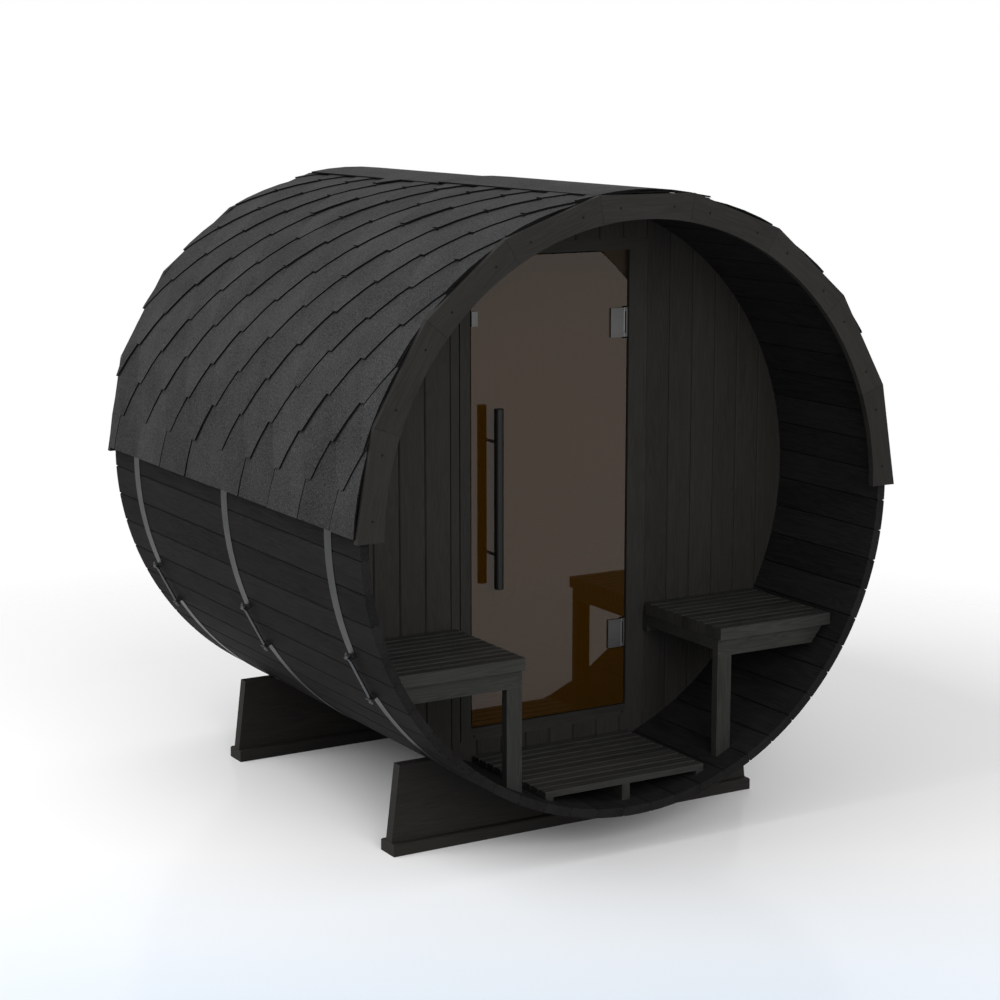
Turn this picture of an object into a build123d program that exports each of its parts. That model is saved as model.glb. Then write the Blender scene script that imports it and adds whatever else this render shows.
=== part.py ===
"""Barrel sauna: a round cabin of longitudinal staves with a porch at its front end.

The barrel lies along Y with its open porch end towards -Y. X runs to the right seen
from the front and Z is up. The origin is on the ground, under the barrel's middle.
Angles round the barrel are counted from its top, positive towards +X.
"""
import os
from math import ceil, cos, degrees, radians, sin, sqrt

from build123d import *

# Barrel
stave_length = 1990.0
outer_radius = 1000.0
stave_thickness = 30.0
stave_count = 60
ground_clearance = 125.0
joint_gap = 0.6
edge_gap = 2.0
stave_chamfer = 3.0
bead_radius = 8.0
croze_depth = 8.0

# Clearances between pieces
seat_gap = 0.3
running_gap = 0.05

# Roof
facet_count = 9
facet_angle = 20.0
deck_thickness = 6.0
deck_gap = 0.5
roof_edge_height = 16.0

# Fascia boards at both ends of the roof
fascia_thickness = 22.0
fascia_overhang = 40.0
fascia_end_height = 4.0
fascia_gap = 0.8

# Steel bands
band_width = 48.0
band_thickness = 1.5
band_end_inset = 215.0
band_top_angle = 86.0
tension_start_angle = 113.4
tension_end_angle = 121.9
lug_height = 24.0
lug_thickness = 5.0
lug_width = 40.0
bolt_radius = 5.0
bolt_hole_gap = 0.4
bolt_overhang = 16.0
nut_width = 17.0
nut_height = 9.0

# Cradles
cradle_inset = 390.0
foot_length = 1430.0
foot_width = 90.0
foot_height = 40.0
foot_chamfer = 4.0
saddle_thickness = 40.0
saddle_bottom_half_width = 710.0
saddle_top_half_width = 678.0
saddle_height = 257.0

# End walls
porch_depth = 544.0
wall_thickness = 28.0
rear_wall_inset = 60.0
board_pitch = 96.4
board_gap = 1.4
board_chamfer = 3.5

# Door opening and its frame
opening_half_width = 312.0
opening_height = 1592.0
opening_rise = 92.0
jamb_width = 73.6
head_height = 39.0
threshold_height = 42.0
frame_depth = 45.0
stile_groove_width = 4.0
stile_groove_depth = 14.0
stile_groove_offset = 38.5
corner_block_thickness = 20.0

# Door
glass_thickness = 8.0
glass_side_gap = 6.0
glass_end_gap = 4.0
glass_corner = 98.0
glass_recess = 5.0
corner_block_gap = 7.0
hinge_top_inset = 242.0
hinge_bottom_inset = 256.0
hinge_length = 100.0
hinge_axis_inset = 15.0
clamp_width = 51.0
clamp_plate = 6.0
clamp_axis_gap = 8.0
clamp_web = 3.0
knuckle_radius = 6.0
knuckle_length = 72.0
knuckle_web = 10.0
hinge_pin_radius = 3.5
leaf_thickness = 8.0
leaf_depth = 18.0
leaf_front_offset = 3.0
hinge_arm_gap = 1.0
notch_margin = 5.0
handle_radius = 16.0
handle_length = 608.0
handle_edge_inset = 73.0
handle_drop = 7.0
handle_standoff = 60.0
handle_post_radius = 5.0
handle_post_spacing = 380.0
handle_end_chamfer = 1.5
catch_width = 23.0
catch_height = 49.0
catch_thickness = 5.0
catch_top_inset = 201.5

# Benches
bench_height = 452.0
bench_front_inset = 77.0
bench_inner_half_width = 380.0
bench_wall_gap = 19.0
slat_width = 40.0
slat_gap = 6.7
bench_slat_height = 40.0
slat_chamfer = 2.5
support_thickness = 30.0
support_setback = 18.0
support_rail_height = 60.0
support_end_gap = 17.0
support_chamfer_width = 48.0
leg_inner_half_width = 382.0
leg_width = 56.0
apron_thickness = 28.0
apron_height = 40.0
cabin_support_inset = 450.0

# Slatted floors
floor_rise = 75.0
floor_slat_height = 20.0
floor_half_width = 310.0
floor_front_inset = 67.0
floor_wall_gap = 10.0
bearer_width = 30.0

# Places worked out from the sizes above; heights are above the barrel's axis
axis_height = outer_radius + ground_clearance
inner_radius = outer_radius - stave_thickness
croze_radius = inner_radius + croze_depth
wall_radius = croze_radius - seat_gap
front_end = -stave_length / 2
rear_end = stave_length / 2
wall_front = front_end + porch_depth
wall_back = wall_front + wall_thickness
rear_wall_back = rear_end - rear_wall_inset
rear_wall_front = rear_wall_back - wall_thickness
deck_apothem = outer_radius + seat_gap
roof_apothem = deck_apothem + deck_thickness
floor_top = floor_rise - inner_radius
bench_top = floor_top + bench_height
opening_bottom = floor_top + opening_rise
opening_top = opening_bottom + opening_height
frame_outer_half_width = opening_half_width + jamb_width
head_top = opening_top + head_height
threshold_bottom = opening_bottom - threshold_height
glass_half_width = opening_half_width - glass_side_gap
glass_top = opening_top - glass_end_gap
glass_bottom = opening_bottom + glass_end_gap
glass_front = wall_front + glass_recess
glass_middle = glass_front + glass_thickness / 2
glass_back = glass_front + glass_thickness
hinge_axis_x = opening_half_width - hinge_axis_inset
hinge_heights = (glass_top - hinge_top_inset, glass_bottom + hinge_bottom_inset)
reach = 1.3 * outer_radius
barrel_axis = Axis((0, 0, axis_height), (0, 1, 0))

os.makedirs("parts", exist_ok=True)


def end_plane(y):
    """Plane across the barrel at y, with its origin on the barrel's axis."""
    return Plane(origin=(0, y, axis_height), x_dir=(1, 0, 0), z_dir=(0, -1, 0))


def level_plane(height):
    """Horizontal plane at a height above the barrel's axis."""
    return Plane.XY.offset(axis_height + height)


def round_point(radius, angle):
    """Point on a circle round the axis, in an end plane."""
    return (radius * sin(radians(angle)), radius * cos(radians(angle)))


def sector_outline(start, end, gap=0.0):
    """Corners of a wedge from start to end angle, each side set back by half a gap."""
    middle = (start + end) / 2
    half = (end - start) / 2
    tip = round_point(gap / 2 / sin(radians(half)) if gap else 0.0, middle)
    steps = max(1, ceil((end - start) / 40))
    rim = [round_point(reach, start + (end - start) * n / steps) for n in range(steps + 1)]
    return [tip] + [(tip[0] + x, tip[1] + y) for x, y in rim]


def chord_half_width(radius, height):
    """Half width of a circle round the axis at a height above it."""
    return sqrt(radius ** 2 - height ** 2)


def save(builder, label):
    """Label a finished piece and write it under its own name."""
    builder.part.label = label
    export_step(builder.part, f"parts/{label}.step")


# One stave, at the top of the barrel. Its right edge has a round bead and its left edge
# the matching cove, so that the staves lock and still turn on each other.
half_stave = 180.0 / stave_count
joint_radius = (outer_radius + inner_radius) / 2
with BuildPart() as stave:
    with BuildSketch(end_plane(front_end)) as stave_section:
        Circle(outer_radius)
        Circle(inner_radius, mode=Mode.SUBTRACT)
        with BuildLine():
            Polyline(*sector_outline(-half_stave, half_stave, edge_gap), close=True)
        make_face(mode=Mode.INTERSECT)
        chamfer(stave_section.vertices(), stave_chamfer)
        with Locations(round_point(joint_radius, half_stave)):
            Circle(bead_radius)
        with Locations(round_point(joint_radius, -half_stave)):
            Circle(bead_radius + joint_gap, mode=Mode.SUBTRACT)
    extrude(amount=-stave_length)
    for groove_front in (wall_front, rear_wall_front):
        with BuildSketch(end_plane(groove_front - seat_gap)):
            Circle(croze_radius)
            Circle(inner_radius - croze_depth, mode=Mode.SUBTRACT)
        extrude(amount=-(wall_thickness + 2 * seat_gap), mode=Mode.SUBTRACT)

stave_groups = {
    "top_staves": 0.0,
    "right_upper_staves": 60.0,
    "right_lower_staves": 120.0,
    "bottom_staves": 180.0,
    "left_lower_staves": 240.0,
    "left_upper_staves": 300.0,
}
staves_per_group = stave_count // len(stave_groups)
stave_step = 360.0 / stave_count
for group_name, group_angle in stave_groups.items():
    with BuildPart() as stave_group:
        for number in range(staves_per_group):
            turn = group_angle + (number - staves_per_group // 2) * stave_step
            add(stave.part.rotate(barrel_axis, turn))
    save(stave_group, group_name)

# Roof deck: flat panels that rest on the staves, mitred where they meet.
with BuildPart() as deck_panel:
    with BuildSketch(end_plane(front_end)):
        with BuildLine():
            Polyline(*sector_outline(-facet_angle / 2, facet_angle / 2, deck_gap), close=True)
        make_face()
        with Locations((0, roof_apothem)):
            Rectangle(2 * reach, deck_thickness, align=(Align.CENTER, Align.MAX), mode=Mode.INTERSECT)
    extrude(amount=-stave_length)

# One fascia board: straight outside like its roof panel, round inside like the barrel.
with BuildPart() as fascia_board:
    with BuildSketch(end_plane(front_end - fascia_thickness)):
        with BuildLine():
            Polyline(*sector_outline(-facet_angle / 2, facet_angle / 2, fascia_gap), close=True)
        make_face()
        with Locations((0, roof_apothem)):
            Rectangle(2 * reach, reach, align=(Align.CENTER, Align.MAX), mode=Mode.INTERSECT)
        Circle(inner_radius - fascia_overhang, mode=Mode.SUBTRACT)
    extrude(amount=-fascia_thickness)

half_count = facet_count // 2
roof_sides = {
    "roof_deck_left": range(-half_count, 0),
    "roof_deck_top": range(0, 1),
    "roof_deck_right": range(1, half_count + 1),
}
for side_name, numbers in roof_sides.items():
    with BuildPart() as deck_side:
        for number in numbers:
            add(deck_panel.part.rotate(barrel_axis, number * facet_angle))
        with BuildSketch(level_plane(roof_edge_height)):
            Rectangle(3 * reach, 3 * reach)
        extrude(amount=-reach, mode=Mode.SUBTRACT)
    save(deck_side, side_name)

for fascia_name, fascia_shift in (("front_fascia", 0.0), ("rear_fascia", stave_length + fascia_thickness)):
    with BuildPart() as fascia:
        for number in range(-half_count, half_count + 1):
            board = fascia_board.part.rotate(barrel_axis, number * facet_angle)
            add(board.translate((0, fascia_shift, 0)))
        with BuildSketch(level_plane(fascia_end_height)):
            Rectangle(3 * reach, 3 * reach)
        extrude(amount=-reach, mode=Mode.SUBTRACT)
    save(fascia, fascia_name)

# Steel bands round the barrel below the roof, open on the left where a bolt tightens them.
band_inner_radius = outer_radius + seat_gap
band_outer_radius = band_inner_radius + band_thickness
band_places = (front_end + band_end_inset, 0.0, rear_end - band_end_inset)
lug_inset = degrees(lug_thickness / outer_radius)
bolt_reach = band_outer_radius + lug_height / 2
with BuildPart() as steel_bands:
    for place in band_places:
        with BuildSketch(end_plane(place - band_width / 2)):
            Circle(band_outer_radius)
            Circle(band_inner_radius, mode=Mode.SUBTRACT)
            with BuildLine():
                Polyline(*sector_outline(-band_top_angle, band_top_angle), close=True)
            make_face(mode=Mode.SUBTRACT)
            with BuildLine():
                Polyline(*sector_outline(-tension_end_angle, -tension_start_angle), close=True)
            make_face(mode=Mode.SUBTRACT)
        extrude(amount=-band_width)
        for lug_angle in (-tension_start_angle + lug_inset / 2, -tension_end_angle - lug_inset / 2):
            with BuildSketch(end_plane(place - lug_width / 2)):
                with Locations(Location(round_point(band_inner_radius, lug_angle) + (0,), -lug_angle)):
                    Rectangle(lug_thickness, lug_height, align=(Align.CENTER, Align.MIN))
            extrude(amount=-lug_width)
    tension_middle = -(tension_start_angle + tension_end_angle) / 2
    bolt_direction = (cos(radians(tension_middle)), 0, -sin(radians(tension_middle)))
    for place in band_places:
        bolt_x, bolt_z = round_point(bolt_reach, tension_middle)
        bolt_plane = Plane(origin=(bolt_x, place, axis_height + bolt_z), z_dir=bolt_direction)
        with BuildSketch(bolt_plane):
            Circle(bolt_radius + bolt_hole_gap)
        extrude(amount=reach / 4, both=True, mode=Mode.SUBTRACT)
save(steel_bands, "steel_bands")

# Threaded tension bolts with a nut outside each lug.
tension_half_angle = (tension_end_angle - tension_start_angle) / 2 + lug_inset
nut_seat = bolt_reach * sin(radians(tension_half_angle)) + lug_thickness / 2
with BuildPart() as tension_bolts:
    for place in band_places:
        bolt_x, bolt_z = round_point(bolt_reach, tension_middle)
        bolt_plane = Plane(origin=(bolt_x, place, axis_height + bolt_z), z_dir=bolt_direction)
        with BuildSketch(bolt_plane):
            Circle(bolt_radius)
        extrude(amount=nut_seat + bolt_overhang, both=True)
        for side in (1, -1):
            nut_plane = bolt_plane.offset(side * nut_seat)
            with BuildSketch(nut_plane):
                RegularPolygon(nut_width / 2, 6, major_radius=False)
            extrude(amount=side * nut_height)
save(tension_bolts, "tension_bolts")

# Cradles: a saddle board hollowed to the barrel, standing on a wider foot.
for cradle_name, cradle_y in (("front", front_end + cradle_inset), ("rear", rear_end - cradle_inset)):
    with BuildPart() as foot:
        with Locations((0, cradle_y, 0)):
            Box(foot_length, foot_width, foot_height, align=(Align.CENTER, Align.CENTER, Align.MIN))
        chamfer(foot.edges().group_by(Axis.Z)[-1], foot_chamfer)
    save(foot, f"{cradle_name}_cradle_foot")

    with BuildPart() as saddle:
        with BuildSketch(end_plane(cradle_y - saddle_thickness / 2)):
            saddle_bottom = foot_height - axis_height
            saddle_top = saddle_bottom + saddle_height
            with BuildLine():
                Polyline((-saddle_bottom_half_width, saddle_bottom), (saddle_bottom_half_width, saddle_bottom),
                         (saddle_top_half_width, saddle_top), (-saddle_top_half_width, saddle_top), close=True)
            make_face()
            Circle(outer_radius + seat_gap, mode=Mode.SUBTRACT)
        extrude(amount=-saddle_thickness)
    save(saddle, f"{cradle_name}_cradle_saddle")


def board_edges(start):
    """Board edges from a start towards the round wall's side, where the last board is wider."""
    count = int((wall_radius - start) / board_pitch - 0.5)
    return [start + number * board_pitch for number in range(count + 1)] + [wall_radius]


def mirrored(edges):
    """The same edges on the left."""
    return [-edge for edge in reversed(edges)]


def build_boards(front, edges, bottom, top):
    """Add upright wall boards between edges and two heights."""
    for start, end in zip(edges, edges[1:]):
        middle = (start + end) / 2
        with BuildSketch(level_plane(bottom)) as board_section:
            with Locations((middle, front + wall_thickness / 2)):
                Rectangle(end - start - board_gap, wall_thickness)
            chamfer(board_section.vertices(), board_chamfer)
        extrude(board_section.sketch, amount=top - bottom)


def round_off_wall(front):
    """Cut the boards made so far to the round of the barrel's groove."""
    with BuildSketch(end_plane(front)) as round_section:
        Circle(wall_radius)
    extrude(round_section.sketch, amount=-wall_thickness, mode=Mode.INTERSECT)


frame_boards = round(2 * frame_outer_half_width / board_pitch)
frame_pitch = 2 * frame_outer_half_width / frame_boards
frame_edges = [number * frame_pitch - frame_outer_half_width for number in range(frame_boards + 1)]
side_edges = board_edges(frame_outer_half_width)
wall_regions = {
    "front_wall_left": (mirrored(side_edges), -wall_radius, wall_radius),
    "front_wall_right": (side_edges, -wall_radius, wall_radius),
    "front_wall_over_door": (frame_edges, head_top, wall_radius),
    "front_wall_under_door": (frame_edges, -wall_radius, threshold_bottom),
}
for wall_name, (edges, bottom, top) in wall_regions.items():
    with BuildPart() as wall_part:
        build_boards(wall_front, edges, bottom, top)
        round_off_wall(wall_front)
    save(wall_part, wall_name)

rear_edges = mirrored(board_edges(0.0))[:-1] + board_edges(0.0)
with BuildPart() as rear_wall:
    build_boards(rear_wall_front, rear_edges, -wall_radius, wall_radius)
    round_off_wall(rear_wall_front)
save(rear_wall, "rear_wall")

# Door frame: two jambs between a head and a threshold.
jamb_height = opening_top - threshold_bottom
with BuildPart() as jamb_right:
    with BuildSketch(level_plane(threshold_bottom)):
        with Locations((opening_half_width, wall_front)):
            Rectangle(jamb_width, frame_depth, align=(Align.MIN, Align.MIN))
    extrude(amount=jamb_height)
save(jamb_right, "door_jamb_right")

with BuildPart() as jamb_left:
    with BuildSketch(level_plane(threshold_bottom)):
        with Locations((-opening_half_width, wall_front)):
            Rectangle(jamb_width, frame_depth, align=(Align.MAX, Align.MIN))
        with Locations((-opening_half_width - stile_groove_offset, wall_front)):
            Rectangle(stile_groove_width, stile_groove_depth, align=(Align.MAX, Align.MIN), mode=Mode.SUBTRACT)
    extrude(amount=jamb_height)
save(jamb_left, "door_jamb_left")

with BuildPart() as door_head:
    with BuildSketch(level_plane(opening_top)):
        with Locations((0, wall_front)):
            Rectangle(2 * frame_outer_half_width, frame_depth, align=(Align.CENTER, Align.MIN))
    extrude(amount=head_height)
save(door_head, "door_head")

with BuildPart() as threshold:
    with BuildSketch(level_plane(threshold_bottom)):
        with Locations((0, wall_front)):
            Rectangle(2 * opening_half_width, frame_depth, align=(Align.CENTER, Align.MIN))
    extrude(amount=threshold_height)
save(threshold, "door_threshold")

# Bare wood blocks in the frame's upper corners, behind the door's cut corners.
corner_leg = glass_corner + opening_half_width - glass_half_width + opening_top - glass_top
with BuildPart() as corner_blocks:
    with BuildSketch(end_plane(glass_back + corner_block_gap)):
        with BuildLine():
            Polyline((opening_half_width, opening_top), (opening_half_width - corner_leg, opening_top),
                     (opening_half_width, opening_top - corner_leg), close=True)
        make_face()
        mirror(about=Plane.YZ)
    extrude(amount=-corner_block_thickness)
save(corner_blocks, "door_corner_blocks")

# Door glass, with its upper corners cut and a notch at each hinge.
notch_depth = glass_half_width - hinge_axis_x + clamp_axis_gap + clamp_web + seat_gap
with BuildPart() as glass:
    with BuildSketch(end_plane(glass_front)):
        with BuildLine():
            Polyline((-glass_half_width, glass_bottom), (glass_half_width, glass_bottom),
                     (glass_half_width, glass_top - glass_corner), (glass_half_width - glass_corner, glass_top),
                     (glass_corner - glass_half_width, glass_top), (-glass_half_width, glass_top - glass_corner),
                     close=True)
        make_face()
        with Locations(*[(glass_half_width, height) for height in hinge_heights]):
            Rectangle(2 * notch_depth, hinge_length + 2 * notch_margin, mode=Mode.SUBTRACT)
    extrude(amount=-glass_thickness)
save(glass, "door_glass")

# Hinge clamps grip the glass and turn on the pins of the hinge leaves.
clamp_inner_x = hinge_axis_x - clamp_axis_gap - clamp_width
with BuildPart() as hinge_clamps:
    for height in hinge_heights:
        for plate_front in (glass_front - clamp_plate, glass_back):
            with BuildSketch(end_plane(plate_front)):
                with Locations((clamp_inner_x, height)):
                    Rectangle(clamp_width, hinge_length, align=(Align.MIN, Align.CENTER))
            extrude(amount=-clamp_plate)
        with BuildSketch(level_plane(height - knuckle_length / 2)):
            with Locations((hinge_axis_x, glass_middle)):
                Circle(knuckle_radius)
                Rectangle(clamp_axis_gap + clamp_web, knuckle_web, align=(Align.MAX, Align.CENTER))
            with Locations((hinge_axis_x - clamp_axis_gap, glass_middle)):
                Rectangle(clamp_web, glass_thickness + 2 * clamp_plate, align=(Align.MAX, Align.CENTER))
            with Locations((hinge_axis_x, glass_middle)):
                Circle(hinge_pin_radius + running_gap, mode=Mode.SUBTRACT)
        extrude(amount=knuckle_length)
save(hinge_clamps, "door_hinge_clamps")

leaf_x = opening_half_width - leaf_thickness
arm_length = (hinge_length - knuckle_length) / 2 - hinge_arm_gap
with BuildPart() as hinge_leaves:
    for height in hinge_heights:
        with BuildSketch(level_plane(height - hinge_length / 2)):
            with Locations((leaf_x, glass_middle - leaf_front_offset)):
                Rectangle(leaf_thickness, leaf_depth, align=(Align.MIN, Align.MIN))
        extrude(amount=hinge_length)
        for arm_bottom in (height - hinge_length / 2, height + knuckle_length / 2 + hinge_arm_gap):
            with BuildSketch(level_plane(arm_bottom)):
                with Locations((hinge_axis_x, glass_middle)):
                    Circle(knuckle_radius)
                    Rectangle(leaf_x - hinge_axis_x, 2 * knuckle_radius, align=(Align.MIN, Align.CENTER))
            extrude(amount=arm_length)
        with BuildSketch(level_plane(height - hinge_length / 2)):
            with Locations((hinge_axis_x, glass_middle)):
                Circle(hinge_pin_radius)
        extrude(amount=hinge_length)
save(hinge_leaves, "door_hinge_leaves")

# Long upright pulls on both faces of the door, each on two posts.
handle_x = handle_edge_inset - glass_half_width
handle_middle = (glass_top + glass_bottom) / 2 - handle_drop
post_heights = (handle_middle - handle_post_spacing / 2, handle_middle + handle_post_spacing / 2)
outer_handle_y = glass_middle - handle_standoff
inner_handle_y = glass_middle + handle_standoff
with BuildPart() as outer_handle:
    with BuildSketch(level_plane(handle_middle - handle_length / 2)):
        with Locations((handle_x, outer_handle_y)):
            Circle(handle_radius)
    extrude(amount=handle_length)
    chamfer(outer_handle.edges().filter_by(GeomType.CIRCLE), handle_end_chamfer)
    with BuildSketch(end_plane(glass_front)):
        with Locations(*[(handle_x, height) for height in post_heights]):
            Circle(handle_post_radius)
    extrude(amount=glass_front - outer_handle_y)
save(outer_handle, "outer_handle")

with BuildPart() as inner_handle:
    with BuildSketch(level_plane(handle_middle - handle_length / 2)):
        with Locations((handle_x, inner_handle_y)):
            Circle(handle_radius)
    extrude(amount=handle_length)
    chamfer(inner_handle.edges().filter_by(GeomType.CIRCLE), handle_end_chamfer)
save(inner_handle, "inner_handle")

with BuildPart() as inner_posts:
    with BuildSketch(end_plane(glass_back)):
        with Locations(*[(handle_x, height) for height in post_heights]):
            Circle(handle_post_radius)
    extrude(amount=-(inner_handle_y - handle_radius - seat_gap - glass_back))
save(inner_posts, "inner_handle_posts")

with BuildPart() as catch_plate:
    with BuildSketch(end_plane(glass_front - catch_thickness)):
        with Locations((-glass_half_width, glass_top - catch_top_inset)):
            Rectangle(catch_width, catch_height, align=(Align.MIN, Align.CENTER))
    extrude(amount=-catch_thickness)
save(catch_plate, "door_catch_plate")


def build_slats(level, height, sides, front, back):
    """Add level slats along X between two sides, evenly spread from front to back."""
    count = 1 + round((back - front - slat_width) / (slat_width + slat_gap))
    pitch = (back - front - slat_width) / (count - 1)
    with BuildSketch(level_plane(level - height)) as slat_sections:
        with Locations(*[(sides[0], front + number * pitch) for number in range(count)]):
            Rectangle(sides[1] - sides[0], slat_width, align=(Align.MIN, Align.MIN))
    extrude(slat_sections.sketch, amount=height)


def build_support(front, has_leg):
    """One right-hand bench rail: on a leg that stands on the staves, or fixed to a wall."""
    rail_top = bench_top - bench_slat_height
    rail_low = rail_top - support_rail_height
    rail_end = chord_half_width(inner_radius, rail_top) - support_end_gap
    with BuildSketch(end_plane(front)) as support_section:
        with BuildLine():
            Polyline((leg_inner_half_width, rail_top), (rail_end, rail_top),
                     (rail_end - support_chamfer_width, rail_low), (leg_inner_half_width, rail_low), close=True)
        make_face()
        if has_leg:
            with Locations((leg_inner_half_width, rail_low)):
                Rectangle(leg_width, inner_radius + rail_low, align=(Align.MIN, Align.MAX))
        Circle(inner_radius - seat_gap, mode=Mode.INTERSECT)
    extrude(support_section.sketch, amount=-support_thickness)


def build_aprons(fronts):
    """Boards along Y under the inner slat ends, from each support to the next."""
    for front, back in zip(fronts, fronts[1:]):
        length = back - front - support_thickness - 2 * seat_gap
        with BuildSketch(level_plane(bench_top - bench_slat_height - apron_height)) as apron_section:
            with Locations((leg_inner_half_width, front + support_thickness + seat_gap)):
                Rectangle(apron_thickness, length, align=(Align.MIN, Align.MIN))
        extrude(apron_section.sketch, amount=apron_height)


def bench_sides():
    """Inner and outer ends of the right-hand bench slats."""
    slat_bottom = bench_top - bench_slat_height
    return bench_inner_half_width, chord_half_width(inner_radius - seat_gap, slat_bottom)


# Porch benches: slats across the bench, on a leg at the front and a rail on the wall.
bench_front = front_end + bench_front_inset
bench_back = wall_front - bench_wall_gap
bench_supports = {
    bench_front + support_setback: True,
    wall_front - seat_gap - support_thickness: False,
}
with BuildPart() as right_bench_slats:
    build_slats(bench_top, bench_slat_height, bench_sides(), bench_front, bench_back)
    chamfer(right_bench_slats.edges().filter_by(Axis.X).group_by(Axis.Z)[-1], slat_chamfer)
save(right_bench_slats, "porch_bench_right_slats")

with BuildPart() as right_bench_frame:
    for support_front, has_leg in bench_supports.items():
        build_support(support_front, has_leg)
    build_aprons(list(bench_supports))
save(right_bench_frame, "porch_bench_right_frame")

with BuildPart() as left_bench_slats:
    mirror(right_bench_slats.part, about=Plane.YZ)
save(left_bench_slats, "porch_bench_left_slats")

with BuildPart() as left_bench_frame:
    mirror(right_bench_frame.part, about=Plane.YZ)
save(left_bench_frame, "porch_bench_left_frame")

# Cabin bench: the same section as the porch bench, along the right-hand side.
cabin_front = wall_back + bench_wall_gap
cabin_back = rear_wall_front - bench_wall_gap
cabin_supports = {
    wall_front + frame_depth + seat_gap: False,
    wall_back + cabin_support_inset: True,
    rear_wall_front - seat_gap - support_thickness: False,
}
with BuildPart() as cabin_bench_slats:
    build_slats(bench_top, bench_slat_height, bench_sides(), cabin_front, cabin_back)
    chamfer(cabin_bench_slats.edges().filter_by(Axis.X).group_by(Axis.Z)[-1], slat_chamfer)
save(cabin_bench_slats, "cabin_bench_slats")

with BuildPart() as cabin_bench_frame:
    for support_front, has_leg in cabin_supports.items():
        build_support(support_front, has_leg)
    build_aprons(list(cabin_supports))
save(cabin_bench_frame, "cabin_bench_frame")

# Slatted floors in the porch and in the cabin, on bearers shaped to the staves.
floors = {
    "porch_floor": (front_end + floor_front_inset, wall_front - floor_wall_gap),
    "cabin_floor": (wall_front + frame_depth + floor_wall_gap, rear_wall_front - floor_wall_gap),
}
floor_sides = (-floor_half_width, floor_half_width)
bearer_top = floor_top - floor_slat_height
side_bearer = floor_half_width - bearer_width / 2
for floor_name, (front, back) in floors.items():
    with BuildPart() as floor_slats:
        build_slats(floor_top, floor_slat_height, floor_sides, front, back)
        chamfer(floor_slats.edges().filter_by(Axis.X).group_by(Axis.Z)[-1], slat_chamfer)
    save(floor_slats, f"{floor_name}_slats")

    with BuildPart() as floor_bearers:
        with BuildSketch(end_plane(front)):
            with Locations((-side_bearer, bearer_top), (0, bearer_top), (side_bearer, bearer_top)):
                Rectangle(bearer_width, inner_radius + bearer_top, align=(Align.CENTER, Align.MAX))
            Circle(inner_radius - seat_gap, mode=Mode.INTERSECT)
        extrude(amount=-(back - front))
    save(floor_bearers, f"{floor_name}_bearers")
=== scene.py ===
"""Looks of the barrel sauna: its shingled roof, screws, finishes, floor, lights and camera.

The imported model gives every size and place. Lengths are metres unless a name says mm.
X runs to the right seen from the front, the porch faces -Y and Z is up. Roof distances
are counted down the roof from the ridge line, and heights on it from the deck.
"""

import random
from math import acos, ceil, cos, pi, radians, sin, sqrt, tan

import bmesh
import bpy
from bpy.props import FloatProperty, FloatVectorProperty, PointerProperty
from mathutils import Matrix, Vector


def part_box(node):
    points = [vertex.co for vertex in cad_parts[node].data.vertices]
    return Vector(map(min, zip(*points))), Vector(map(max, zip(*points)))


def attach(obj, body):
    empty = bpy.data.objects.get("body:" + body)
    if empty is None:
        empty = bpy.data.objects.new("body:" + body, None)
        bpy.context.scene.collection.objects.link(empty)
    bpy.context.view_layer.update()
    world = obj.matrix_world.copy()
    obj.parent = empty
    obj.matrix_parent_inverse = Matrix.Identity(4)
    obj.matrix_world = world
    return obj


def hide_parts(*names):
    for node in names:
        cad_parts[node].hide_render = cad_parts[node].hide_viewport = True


bl_info = {
    "name": "Barrel sauna looks",
    "version": (1, 0, 0),
    "blender": (4, 5, 0),
    "location": "3D View > Sidebar > Sauna",
    "description": "Shingles, screws, finishes and studio for the barrel sauna",
    "category": "Object",
}

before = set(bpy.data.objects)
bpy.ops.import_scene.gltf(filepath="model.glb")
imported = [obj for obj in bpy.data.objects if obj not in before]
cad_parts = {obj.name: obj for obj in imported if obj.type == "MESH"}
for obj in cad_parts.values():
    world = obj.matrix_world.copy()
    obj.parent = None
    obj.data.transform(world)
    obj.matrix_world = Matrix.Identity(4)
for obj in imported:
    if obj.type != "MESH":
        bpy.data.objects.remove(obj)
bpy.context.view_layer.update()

# The barrel and its straight-sided fascia, read from the frame
BARREL_FRONT, BARREL_REAR = (corner.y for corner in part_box("top_staves"))
AXIS_HEIGHT = (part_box("top_staves")[1].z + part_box("bottom_staves")[0].z) / 2
BARREL_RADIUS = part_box("top_staves")[1].z - AXIS_HEIGHT
EAVE_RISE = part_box("roof_deck_left")[0].z - AXIS_HEIGHT
STAVE_STEP = radians(6)
FACET_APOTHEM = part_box("roof_deck_top")[1].z - AXIS_HEIGHT
FACET_ANGLE = radians(20)
FACETS_PER_SIDE = 4
FACET_WIDTH = 2 * FACET_APOTHEM * tan(FACET_ANGLE / 2)
FASCIA_INNER_RADIUS = 0.93

# The bent deck fills the room of the flat one, and its shingles crease at small even steps
CLEARANCE_ON_STAVES = 0.0003
CLEARANCE_ON_DECK = 0.0002
DECK_RADIUS = FACET_APOTHEM
DECK_INNER_RADIUS = BARREL_RADIUS + CLEARANCE_ON_STAVES
EAVE_ANGLE = acos(EAVE_RISE / DECK_RADIUS)
EAVE_DISTANCE = DECK_RADIUS * EAVE_ANGLE
CREASE_ANGLE = radians(4)
CREASE_STEP = 2 * DECK_RADIUS * tan(CREASE_ANGLE / 2)
CREASES = [(number + 0.5) * CREASE_STEP for number in range(ceil(EAVE_DISTANCE / CREASE_STEP))]
ON_CREASE = 1e-5
CUT_TOLERANCE = 1e-6

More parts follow.
